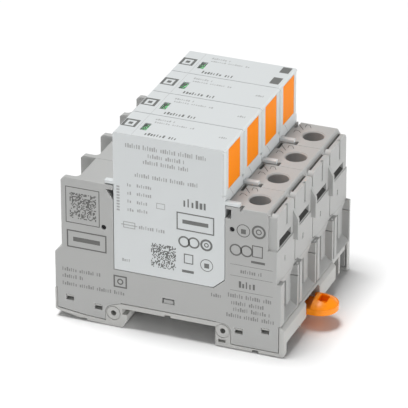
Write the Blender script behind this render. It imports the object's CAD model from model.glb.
import math

import bmesh
import bpy
import numpy as np
from mathutils import Matrix, Vector


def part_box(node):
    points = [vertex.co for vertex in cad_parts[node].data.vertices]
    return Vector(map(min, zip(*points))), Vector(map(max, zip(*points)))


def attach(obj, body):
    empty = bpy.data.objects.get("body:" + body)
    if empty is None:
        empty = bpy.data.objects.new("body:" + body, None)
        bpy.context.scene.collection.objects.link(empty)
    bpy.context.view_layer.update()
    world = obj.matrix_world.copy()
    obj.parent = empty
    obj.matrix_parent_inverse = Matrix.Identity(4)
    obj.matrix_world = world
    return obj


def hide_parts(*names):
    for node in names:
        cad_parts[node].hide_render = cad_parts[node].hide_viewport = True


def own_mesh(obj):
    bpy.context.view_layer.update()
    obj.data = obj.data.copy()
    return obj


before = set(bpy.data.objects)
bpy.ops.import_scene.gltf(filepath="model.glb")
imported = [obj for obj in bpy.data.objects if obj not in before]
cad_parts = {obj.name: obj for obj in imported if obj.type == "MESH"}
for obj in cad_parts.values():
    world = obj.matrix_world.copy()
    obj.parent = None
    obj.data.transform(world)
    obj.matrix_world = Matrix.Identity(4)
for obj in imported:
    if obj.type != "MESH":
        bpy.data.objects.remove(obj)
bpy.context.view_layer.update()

# Lower frame
# The frame that clips to the rail, moulded in one piece from light grey polyamide: hook, foot bar,
# lip, decks and side bands. The poles stand on it, and its snap noses hold their skirts.


class Value:
    """A number or colour in a material's nodes. Arithmetic on it adds Math nodes."""

    def __init__(self, finish, socket):
        self.finish, self.socket = finish, socket

    def math(self, operation, *terms):
        return self.finish.node("ShaderNodeMath", {"operation": operation}, dict(enumerate(terms)))

    def __add__(self, other):
        return self.math("ADD", self, other)

    def __mul__(self, other):
        return self.math("MULTIPLY", self, other)

    __radd__, __rmul__ = __add__, __mul__


class Finish:
    """A material in the making, on object coordinates in metres."""

    def __init__(self, name, **constants):
        self.material = bpy.data.materials.new(name)
        self.material.use_nodes = True
        self.tree = self.material.node_tree
        self.skin = self.tree.nodes["Principled BSDF"]
        for socket, value in constants.items():
            self.skin.inputs[socket.replace("_", " ")].default_value = value
        self.place = self.node("ShaderNodeTexCoord", out="Object")

    def node(self, kind, settings=None, sockets=None, out=0):
        """Any node: its settings first, then the values or links of its sockets."""
        node = self.tree.nodes.new(kind)
        for key, value in (settings or {}).items():
            setattr(node, key, value)
        for key, value in (sockets or {}).items():
            self.feed(node.inputs[key], value)
        return Value(self, node.outputs[out])

    def feed(self, socket, value):
        if isinstance(value, Value):
            self.tree.links.new(value.socket, socket)
        else:
            socket.default_value = value

    def noise(self, scale, detail=2.0, stretch=(1, 1, 1)):
        """Noise from 0 to 1 with about `scale` lumps to the metre, drawn out by `stretch`."""
        spot = self.node("ShaderNodeMapping", {}, {"Vector": self.place, "Scale": stretch})
        return self.node("ShaderNodeTexNoise", {}, {"Vector": spot, "Scale": scale, "Detail": detail})

    def mix(self, share, low, high):
        """Colour that goes from low to high as share goes from 0 to 1."""
        return self.node("ShaderNodeMix", {"data_type": "RGBA"}, {0: share, 6: low, 7: high}, out=2)

    def wear(self, colour, rough, relief, height):
        """Feeds the shader with what varies over the surface. relief is the bump's depth in metres."""
        self.feed(self.skin.inputs["Base Color"], colour)
        self.feed(self.skin.inputs["Roughness"], rough)
        bump = self.node("ShaderNodeBump", {}, {"Strength": 0.6, "Distance": relief, "Height": height})
        self.feed(self.skin.inputs["Normal"], bump)
        return self.material


def tone(colour, by):
    """The colour times a factor, with full alpha."""
    return tuple(min(1.0, c * by) for c in colour) + (1.0,)


def moulded(name, colour, rough, spread=0.03, grain=2600, relief=1.5e-5, **constants):
    """Moulded plastic: fine spark-eroded grain, and faint clouds and flow streaks in the colour."""
    f = Finish(name, **constants)
    fine = f.noise(grain, 3.0)
    cloud = f.noise(38) * 0.7 + f.noise(90, 2.0, (1, 1, 0.15)) * 0.3
    shade = f.mix(cloud, tone(colour, 1 - spread), tone(colour, 1 + spread))
    return f.wear(shade, fine * 0.16 + (cloud * 0.08 + (rough - 0.12)), relief, fine)


def corner_normals(mesh, limit):
    """Normals of the mesh's corners. A corner's normal is the sum of the normals of the faces round its
    point that turn less than `limit` from its own face, each times its area."""
    point = np.empty(len(mesh.loops), int)
    mesh.loops.foreach_get("vertex_index", point)
    sides = np.empty(len(mesh.polygons), int)
    mesh.polygons.foreach_get("loop_total", sides)
    area = np.empty(len(mesh.polygons))
    mesh.polygons.foreach_get("area", area)
    normal = np.empty(3 * len(mesh.polygons))
    mesh.polygons.foreach_get("normal", normal)
    normal = normal.reshape(-1, 3)
    face = np.repeat(np.arange(len(sides)), sides)
    round_point = np.bincount(point)
    first = np.cumsum(round_point) - round_point
    count = round_point[point]
    mine = np.repeat(np.arange(len(point)), count)
    step = np.arange(count.sum()) - np.repeat(np.cumsum(count) - count, count)
    other = np.argsort(point, kind="stable")[first[point[mine]] + step]
    mine_face, other_face = face[mine], face[other]
    near = (normal[mine_face] * normal[other_face]).sum(1) > math.cos(limit)
    total = normal[face] * 1e-15
    np.add.at(total, mine[near], normal[other_face[near]] * area[other_face[near], None])
    return total / np.linalg.norm(total, axis=1, keepdims=True)


def softened(node, width, body, material):
    """A copy of a CAD node with its outer edges rounded by `width`. Doubles are merged and flat triangles
    joined, then an edge is rounded where the faces and edges that meet it leave three times the width."""
    bm = bmesh.new()
    bm.from_mesh(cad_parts[node].data)
    bmesh.ops.remove_doubles(bm, verts=bm.verts, dist=2e-6)
    bmesh.ops.dissolve_limit(bm, angle_limit=math.radians(0.6), verts=bm.verts, edges=bm.edges)

    def depth(face, edge):
        start = edge.verts[0].co
        along = (edge.verts[1].co - start).normalized()
        return max((v.co - start).cross(along).length for v in face.verts)

    def has_room(edge):
        return (edge.is_convex and edge.calc_face_angle() > math.radians(28)
                and all(len(v.link_edges) <= 4 for v in edge.verts)
                and all(e.calc_length() > 3 * width for v in edge.verts for e in v.link_edges)
                and all(depth(f, edge) > 3 * width for f in edge.link_faces))

    edges = [e for e in bm.edges if has_room(e)]
    bmesh.ops.triangulate(bm, faces=[f for f in bm.faces if len(f.verts) > 4], ngon_method="BEAUTY")
    bmesh.ops.bevel(bm, geom=edges, offset=width, offset_type="OFFSET", segments=2, profile=0.5,
                    affect="EDGES", clamp_overlap=False)
    for face in bm.faces:
        face.smooth = True
    mesh = bpy.data.meshes.new(node + "_moulding")
    bm.to_mesh(mesh)
    bm.free()
    mesh.normals_split_custom_set(corner_normals(mesh, math.radians(40)).tolist())
    mesh.materials.append(material)
    piece = bpy.data.objects.new(node + "_moulding", mesh)
    bpy.context.scene.collection.objects.link(piece)
    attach(piece, body)
    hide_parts(node)


EDGE = 0.00025
frame_plastic = moulded("frame grey", (0.475, 0.475, 0.46), 0.55)
softened("lower_frame", EDGE, "base", frame_plastic)

# Contact bars, clamps and screws
# Tinned copper bars with fingers for the plugs' blades, zinc-plated clamp cages, and steel screws
# with a cross recess. They are slid into the poles before the poles are pinned together.

POLES = range(1, 5)


def plated(name, colour, rough, patches):
    """Plated metal: fine drawn streaks along X, and dull patches where it was handled."""
    f = Finish(name, Metallic=1.0)
    drawn = f.noise(700, 3.0, (0.06, 1, 1))
    dull = f.noise(160, 3.0)
    shade = f.mix(dull, tone(colour, 1 - patches), tone(colour, 1 + patches))
    return f.wear(shade, drawn * 0.14 + (dull * 0.18 + rough), 6e-6, drawn)


def dress(node, material):
    """Puts a material on a CAD node as it stands."""
    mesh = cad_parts[node].data
    mesh.materials.clear()
    mesh.materials.append(material)


tinned_copper = plated("tinned copper", (0.66, 0.6, 0.52), 0.22, 0.1)
zinc_steel = plated("zinc plated steel", (0.6, 0.61, 0.63), 0.26, 0.08)
dress("common_bar", tinned_copper)
dress("common_screw", zinc_steel)
dress("common_clamp", zinc_steel)
for n in POLES:
    dress("contact_clips_%d" % n, tinned_copper)
    dress("line_screw_%d" % n, zinc_steel)
    dress("line_clamp_%d" % n, zinc_steel)

# Pole housings
# Four housings of mid-grey polyamide with a fine matt grain, each a trough between two terminal
# shoulders. Two blackened steel pins through all four hold them together.

PITCH = 17.8
pole_y = {n: (n - 2.5) * PITCH for n in POLES}


def add_piece(name, points, faces, body, slot, material):
    """A new piece from points in millimetres."""
    mesh = bpy.data.meshes.new(name)
    mesh.from_pydata((points / 1000).tolist(), [], faces)
    mesh.materials.append(material)
    piece = bpy.data.objects.new(name, mesh)
    bpy.context.scene.collection.objects.link(piece)
    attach(piece, body)
    return piece


def strip(name, outline, y0, y1, body, slot, material):
    """A straight strip: an outline in X and Z, anticlockwise from the near side, drawn out from y0
    to y1."""
    flat, count = np.array(outline), len(outline)
    points = np.repeat(np.insert(flat, 1, y0, 1)[None], 2, 0)
    points[1, :, 1] = y1
    k = np.arange(count)
    after = np.roll(k, -1)
    sides = np.stack([k, k + count, after + count, after], 1)
    faces = sides.tolist() + [k.tolist(), (k + count)[::-1].tolist()]
    add_piece(name, points.reshape(-1, 3), faces, body, slot, material)


pole_plastic = moulded("pole grey", (0.416, 0.419, 0.412), 0.56)
for n in POLES:
    softened("pole_housing_%d" % n, EDGE, "base", pole_plastic)
dress("coupling_pins", plated("blackened steel", (0.03, 0.03, 0.032), 0.35, 0.2))

# Linings of the marker slots
# A bent strip of black plastic lies on the sloping floor and the back of each slot at the line end.
# It gives the slots the dark look of deep ones.

lining_plastic = moulded("lining black", (0.07, 0.07, 0.068), 0.7, spread=0.15, grain=1400, relief=4e-5)
lining = [(40.05, 41.39), (40.05, 41.49), (37.87, 42.93), (37.87, 44.1), (37.77, 44.1), (37.77, 42.9)]
LINING_HALF = 5.7
for n, y in pole_y.items():
    strip("marker_lining_%d" % n, lining, y - LINING_HALF, y + LINING_HALF, "base", "housing_grey",
          lining_plastic)

# Print on the pole housings
# Grey pad printing on the outer wall: a square data field, framed fields, rings and rows of short
# strokes. Each is a film of ink, modelled as plates a few hundredths of a millimetre thick.


def bars(rectangles):
    """Corners of rectangles (u0, v0, u1, v1), anticlockwise."""
    r = np.atleast_2d(rectangles).astype(float)
    return np.stack([r[:, [0, 1]], r[:, [2, 1]], r[:, [2, 3]], r[:, [0, 3]]], 1)


def box_line(u0, v0, u1, v1, line):
    """A rectangle's outline as four bars."""
    return bars([[u0, v0, u1, v0 + line], [u0, v1 - line, u1, v1],
                 [u0, v0 + line, u0 + line, v1 - line], [u1 - line, v0 + line, u1, v1 - line]])


def slant(u0, v0, u1, v1, line):
    """A straight line between two points: the points moved half the line's width to either side."""
    ends = np.array([[u0, v0], [u1, v1]], float)
    along = ends[1] - ends[0]
    aside = np.array([-along[1], along[0]]) * line / 2 / np.hypot(*along)
    return np.array([[ends[0] - aside, ends[1] - aside, ends[1] + aside, ends[0] + aside]])


def bent(points, line):
    """A line through points, with a straight plate for each stretch."""
    return np.concatenate([slant(*start, *end, line) for start, end in zip(points, points[1:])])


def ring(u, v, radius, line, count=28):
    """A circle's line: inner and outer radius at even angles, joined by four-sided plates."""
    turn = np.linspace(0, 2 * np.pi, count + 1)
    spoke = np.stack([np.cos(turn), np.sin(turn)], 1)
    outer, inner = [u, v] + radius * spoke, [u, v] + (radius - line) * spoke
    return np.stack([outer[:-1], outer[1:], inner[1:], inner[:-1]], 1)


def strokes(u0, u1, v, tall, pitch=0.82, word=8):
    """A row of short upright strokes from u0 to u1. Stroke k starts at u0 + k pitch, its width and
    height swing with sin(k), and each word-th one is left out."""
    k = np.arange(max(1, round((u1 - u0) / pitch)))
    k = k[k % word != word - 1]
    left, low = u0 + k * pitch, np.full(len(k), v - tall / 2)
    wide = pitch * (0.5 + 0.18 * np.sin(5.1 * k + u0))
    high = tall * (0.82 + 0.18 * np.sin(3.7 * k + v))
    return bars(np.stack([left, low, left + wide, low + high], 1))


def speckle(u0, v0, side, cells):
    """A square of cells of which about half are inked: those where the fraction of a large multiple of
    sin(12.9 i + 78.2 j) is over a half. It carries no data."""
    i, j = np.meshgrid(np.arange(cells), np.arange(cells))
    on = (np.sin(12.9 * i + 78.2 * j) * 437.5) % 1 > 0.5
    step = side / cells
    left, low = u0 + i[on] * step, v0 + j[on] * step
    return bars(np.stack([left, low, left + step, low + step], 1))


def printed(name, fields, face, level, body, slot, material, film=0.03):
    """Plates of ink in millimetres, their corners (u, v) in the plane of a face: X and Z on "near", X and
    Y on "top", Y and Z on "end". They lie at the plane's level and stand off outwards by `film`."""
    flat = np.concatenate(fields)
    outwards = -film if face == "near" else film
    rise = np.array([level, level + outwards])[None, :, None] + np.zeros((len(flat), 1, 4))
    u, v = np.repeat(flat[:, None, :, 0], 2, 1), np.repeat(flat[:, None, :, 1], 2, 1)
    place = {"near": (u, rise, v), "top": (u, v, rise), "end": (rise, u, v)}[face]
    points = np.stack(place, 3).reshape(-1, 3)
    plate = np.array([[3, 2, 1, 0], [4, 5, 6, 7], [0, 1, 5, 4], [1, 2, 6, 5], [2, 3, 7, 6], [3, 0, 4, 7]])
    faces = (np.arange(len(flat))[:, None, None] * 8 + plate).reshape(-1, 4)
    add_piece(name, points, faces.tolist(), body, slot, material)


def ink(name, colour):
    """Pad-printing ink: a dull film whose cover is a little uneven."""
    f = Finish(name)
    cover = f.noise(900, 3.0)
    shade = f.mix(cover, tone(colour, 0.86), tone(colour, 1.14))
    return f.wear(shade, cover * 0.2 + 0.5, 4e-6, cover)


dark_ink = ink("dark grey ink", (0.13, 0.13, 0.125))
pale_ink = ink("pale grey ink", (0.225, 0.225, 0.22))
near_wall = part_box("pole_housing_1")[0].y * 1000
shoulder_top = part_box("pole_housing_1")[1].z * 1000
printed("housing_print_dark", [
    box_line(-38.6, 38.0, -25.7, 52.2, 0.3), speckle(-37.0, 40.0, 10.0, 23),
    box_line(-38.3, 28.3, -23.2, 35.2, 0.5), bars([[-35.9, 30.9, -25.7, 32.6]]),
    box_line(-20.7, 15.7, -15.6, 20.5, 0.55), ring(-18.15, 18.1, 1.2, 0.5),
    ring(28.0, 47.1, 2.5, 0.3), bars([[27.1, 45.9, 28.9, 47.7]]),
    ring(33.65, 47.6, 2.6, 0.75), ring(33.65, 47.6, 1.1, 0.4),
    ring(25.2, 39.2, 2.3, 0.55), ring(29.2, 39.4, 2.3, 0.55),
    box_line(31.2, 37.6, 35.2, 42.2, 0.35), bars([[30.9, 35.2, 36.0, 36.1]]),
    strokes(26.4, 33.2, 26.0, 2.6, 1.3, 9),
], "near", near_wall, "base", "housing_grey", dark_ink)
printed("housing_print_pale", [
    strokes(-40.2, -25.2, 19.3, 1.5), strokes(-40.2, -32.2, 16.6, 1.5), strokes(-40.2, -16.6, 13.6, 1.5),
    bars([[23.2, 33.4, 38.9, 33.55], [23.2, 29.0, 38.9, 29.15], [23.2, 23.2, 38.9, 23.35]]),
    strokes(27.0, 35.6, 31.2, 1.5), strokes(22.4, 39.2, 21.2, 1.7), strokes(23.6, 36.8, 18.4, 1.6),
    strokes(24.4, 38.0, 15.9, 1.6), strokes(21.8, 39.8, 13.3, 1.6), strokes(16.1, 20.2, 19.9, 1.4),
], "near", near_wall, "base", "housing_grey", pale_ink)
printed("terminal_marks", [
    field for y in pole_y.values() for field in (
        slant(22.85, y + 6.75, 25.6, y + 3.3, 0.3),
        bent([(25.6, y + 5.4), (25.3, y + 7.6), (26.7, y + 7.4), (27.8, y + 5.5)], 0.25),
        bent([(23.1, y + 0.2), (23.1, y + 2.1), (24.5, y + 1.9), (25.6, y + 0.8)], 0.25))
], "top", shoulder_top, "base", "housing_grey", dark_ink)
JOINT_FACE = 40.45
printed("pole_joints", [
    bent([(y, 40.4), (y, 30.2), (y + 0.35, 29.35), (y + 1.2, 29.0), (y + 3.0, 28.95)], 0.24)
    for y in (-PITCH, 0.0, PITCH)
], "end", JOINT_FACE, "base", "housing_grey", dark_ink)

# Foot latch and its spring
# An orange slide with a domed grip, moulded in one piece from satin polyamide. A steel spring behind
# it pushes it home; it is pulled out with a screwdriver in the pocket of the grip.

latch_plastic = moulded("latch orange", (1.0, 0.275, 0.0), 0.34, spread=0.05, relief=5e-6,
                        Specular_IOR_Level=0.4)
softened("foot_latch", EDGE, "latch", latch_plastic)


def coil(low, high, wire, turns, steps=28, sides=10):
    """Points and faces of a round wire wound along X between two corners. Ring k of points lies at the
    angle 2 pi k / steps round the axis, one pitch further on for each turn, and goes once round the
    wire. Its points are at half the wire's width from the wire's middle."""
    k, j = np.meshgrid(np.arange(turns * steps + 1), np.arange(sides), indexing="ij")
    turn, round_wire = 2 * np.pi * k / steps, 2 * np.pi * j / sides
    middle = (low + high) / 2
    radius = (high[1] - low[1] - wire) / 2 + wire / 2 * np.cos(round_wire)
    along = low[0] + wire / 2 + (high[0] - low[0] - wire) * k / (turns * steps)
    points = np.stack([along + wire / 2 * np.sin(round_wire), middle[1] + radius * np.cos(turn),
                       middle[2] + radius * np.sin(turn)], 2)
    here = k[:-1] * sides
    after = (j[:-1] + 1) % sides
    skin = np.stack([here + j[:-1], here + sides + j[:-1], here + sides + after, here + after], 2)
    ends = [list(range(sides)), [turns * steps * sides + corner for corner in reversed(range(sides))]]
    return points.reshape(-1, 3), skin.reshape(-1, 4).tolist() + ends


SPRING_WIRE, SPRING_TURNS = 0.6, 8
spring_low, spring_high = (np.array(corner) * 1000 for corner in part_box("latch_spring"))
wound = coil(spring_low, spring_high, SPRING_WIRE, SPRING_TURNS)
spring = add_piece("latch_coil", *wound, "base", "steel", zinc_steel)
spring.data.shade_smooth()
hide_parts("latch_spring")
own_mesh(spring)

# Plug floors and arrester elements
# Each plug has a moulded floor with two tinned blades. Three hold a dip-coated metal-oxide block,
# and the last one an enclosed spark gap in a steel can.

plug_plastic = moulded("plug white", (0.635, 0.66, 0.665), 0.5, spread=0.015)
dip_coat = moulded("dip coat", (0.05, 0.09, 0.24), 0.4, spread=0.12, grain=420, relief=6e-5)
for n in POLES:
    dress("plug_base_%d" % n, plug_plastic)
    dress("contact_blades_%d" % n, tinned_copper)
    dress("varistor_%d" % n if n < 4 else "spark_gap", dip_coat if n < 4 else zinc_steel)

# Status sliders and windows
# A moulded flag slides behind a window of clear polycarbonate in each plug's roof. Its green field is
# under the window while the plug is sound, and its red one once the plug has tripped.

FIELD_EDGE = 0.0015
window_low, window_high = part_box("status_window_1")
red_to = (window_low.x + window_high.x) / 2 - FIELD_EDGE
f = Finish("status flag")
along = f.node("ShaderNodeSeparateXYZ", {}, {0: f.place}, out="X")
fine = f.noise(2600, 3.0)
red, green = (0.75, 0.04, 0.03, 1), (0.16, 0.88, 0.27, 1)
fields = f.mix(along.math("GREATER_THAN", along, red_to), red, green)
flag_plastic = f.wear(fields, fine * 0.16 + 0.37, 1.5e-5, fine)
f = Finish("clear window", Transmission_Weight=0.93, IOR=1.58)
smear = f.noise(500)
milk = f.mix(smear, (0.95, 0.97, 0.96, 1), (1, 1, 1, 1))
window_plastic = f.wear(milk, smear * 0.06 + 0.02, 1e-6, smear)
for n in POLES:
    dress("status_slider_%d" % n, flag_plastic)
    dress("status_window_%d" % n, window_plastic)

# Plug cases and end panels
# White cases moulded in one piece and set over the plug floors, with an orange panel pressed into
# the end of each.

CASE_EDGE, PANEL_EDGE = 0.00028, 0.00012
panel_plastic = moulded("panel orange", (1.0, 0.265, 0.0), 0.5, spread=0.03, Specular_IOR_Level=0.1)
for n in POLES:
    softened("plug_case_%d" % n, CASE_EDGE, "plug_%d" % n, plug_plastic)
    softened("end_panel_%d" % n, PANEL_EDGE, "plug_%d" % n, panel_plastic)

# Print on the plugs
# Rows of strokes, a fuse symbol, rings and framed fields on the near plug's side, a square and three
# rows on every top, and a fine crease below each end panel.

plug_ink = ink("plug grey ink", (0.15, 0.155, 0.15))
plug_pale = ink("plug pale ink", (0.37, 0.375, 0.375))
near_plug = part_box("plug_case_1")[0].y * 1000
plug_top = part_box("plug_case_1")[1].z * 1000
plug_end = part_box("end_panel_1")[1].x * 1000
TOP_FILM = 0.004
printed("plug_side_dark", [
    speckle(-6.4, 26.6, 9.3, 25), box_line(3.2, 43.0, 17.2, 49.9, 0.45), bars([[5.4, 45.7, 15.0, 47.2]]),
    strokes(5.8, 14.8, 53.9, 3.2, 1.5, 9), ring(6.0, 38.6, 2.2, 0.6), ring(9.6, 38.8, 2.2, 0.6),
    ring(14.3, 38.8, 2.3, 0.75), ring(14.3, 38.8, 0.9, 0.4), box_line(5.9, 30.2, 9.4, 34.0, 0.35),
    ring(14.4, 30.9, 2.4, 0.25), bars([[13.5, 29.8, 15.3, 31.6]]), bars([[5.2, 26.6, 9.6, 27.6]]),
], "near", near_plug, "plug_1", "plug_white", plug_ink)
printed("plug_side_pale", [
    strokes(-15.8, 14.2, 72.2, 1.8), strokes(-7.4, 6.2, 69.4, 1.6), strokes(-9.2, 8.4, 66.8, 1.6),
    strokes(-12.3, 11.2, 61.3, 1.6), strokes(-15.2, -13.2, 56.9, 1.3), strokes(-11.6, -4.7, 57.1, 1.3),
    strokes(-15.1, -13.2, 53.7, 1.3), strokes(-11.6, -5.9, 53.9, 1.3), strokes(-15.1, -13.8, 50.6, 1.3),
    strokes(-11.6, -7.2, 50.6, 1.3), strokes(-15.1, -12.4, 47.3, 1.3), strokes(-11.5, -7.0, 47.5, 1.3),
    box_line(-4.3, 49.6, -1.1, 51.8, 0.2), box_line(-16.8, 39.9, -12.3, 42.4, 0.28),
    bars([[-17.6, 41.0, -11.5, 41.28]]), strokes(-10.9, -1.1, 41.1, 1.4), strokes(-17.3, -13.7, 27.2, 1.2),
    bars([[20.36, 58.3, 20.5, 75.1]]),
    bars([[-19.2, 46.2 + 1.13 * k, -18.1, 46.85 + 1.13 * k] for k in range(9)]),
], "near", near_plug, "plug_1", "plug_white", plug_pale)
for n, y in pole_y.items():
    far_fields = bars([[16.1, y + 3.4, 19.6, y + 8.2], [15.9, y - 6.2, 19.4, y - 0.8]])
    printed("plug_top_dark_%d" % n, [
        bars([[-19.9, y - 2.9, -14.6, y - 2.2], [-19.9, y + 1.9, -14.6, y + 2.9],
              [-19.9, y - 2.2, -18.9, y + 1.9], [-15.6, y - 2.2, -14.6, y + 1.9],
              [-18.0, y - 1.0, -16.5, y + 0.8]]),
        strokes(-9.4, 2.4, y - 6.2, 2.0, 1.1), *([far_fields] if n == 4 else []),
    ], "top", plug_top, "plug_%d" % n, "plug_white", plug_ink, film=TOP_FILM)
    printed("plug_top_pale_%d" % n, [
        strokes(-10.1, -2.6, y + 5.7, 1.3), strokes(-9.6, 5.4, y + 3.4, 1.1),
        *([strokes(15.3, 18.9, y + 0.6, 1.4)] if n < 4 else []), bars([[-13.6, y - 8.4, -13.5, y + 8.4]]),
    ], "top", plug_top, "plug_%d" % n, "plug_white", plug_pale, film=TOP_FILM)
    printed("panel_crease_%d" % n, [
        slant(y - 3.9, 59.9, y - 1.2, 56.9, 0.16), slant(y - 1.25, 56.95, y - 0.9, 55.9, 0.16),
    ], "end", plug_end, "plug_%d" % n, "plug_white", plug_pale)

# Floor, light and camera
# A pale seamless floor under soft studio light, seen from the near right and a little above.

bpy.ops.mesh.primitive_plane_add(size=6, location=(0, 0, -0.0003))
floor = bpy.context.object
floor.name = "studio_floor"
f = Finish("floor white")
paper = f.noise(30)
floor.data.materials.append(
    f.wear(f.mix(paper, (0.9, 0.9, 0.9, 1), (0.93, 0.93, 0.93, 1)), paper * 0.1 + 0.8, 1e-5, paper))

world = bpy.data.worlds.new("studio")
world.use_nodes = True
sky = world.node_tree.nodes["Background"]
sky.inputs["Color"].default_value = (1, 1, 1, 1)
sky.inputs["Strength"].default_value = 0.27
bpy.context.scene.world = world


def softbox(name, place, size, power):
    """A square area light at place, turned to the object."""
    lamp = bpy.data.lights.new(name, "AREA")
    lamp.size, lamp.energy = size, power
    lit_from = bpy.data.objects.new(name, lamp)
    lit_from.location = place
    lit_from.rotation_euler = (Vector((0, 0, 0.03)) - Vector(place)).to_track_quat("-Z", "Y").to_euler()
    bpy.context.scene.collection.objects.link(lit_from)


softbox("overhead", (-0.44, -0.1, 2.9), 1.0, 75)
softbox("right fill", (1.3, -0.3, -0.05), 0.4, 21.0)
softbox("front fill", (-0.3, -1.4, 0.1), 0.5, 4.2)
softbox("back fill", (-1.2, 0.9, 0.0), 0.4, 6.0)

AZIMUTH, ELEVATION = math.radians(21.55), math.radians(27.2)
level_part = math.cos(ELEVATION)
back = np.array([math.sin(AZIMUTH) * level_part, -math.cos(AZIMUTH) * level_part, math.sin(ELEVATION)])
right = np.array([math.cos(AZIMUTH), math.sin(AZIMUTH), 0])
up = np.cross(back, right)
ASIDE, RISE, DISTANCE = -0.00056, 0.03132, 1.3921
eye = ASIDE * right + RISE * up + DISTANCE * back
lens = bpy.data.cameras.new("camera")
lens.sensor_width, lens.lens = 36, 342.1
camera = bpy.data.objects.new("camera", lens)
camera.matrix_world = Matrix([[right[k], up[k], back[k], eye[k]] for k in range(3)] + [[0, 0, 0, 1]])
bpy.context.scene.collection.objects.link(camera)
bpy.context.scene.camera = camera
bpy.context.scene.view_settings.view_transform = "Standard"
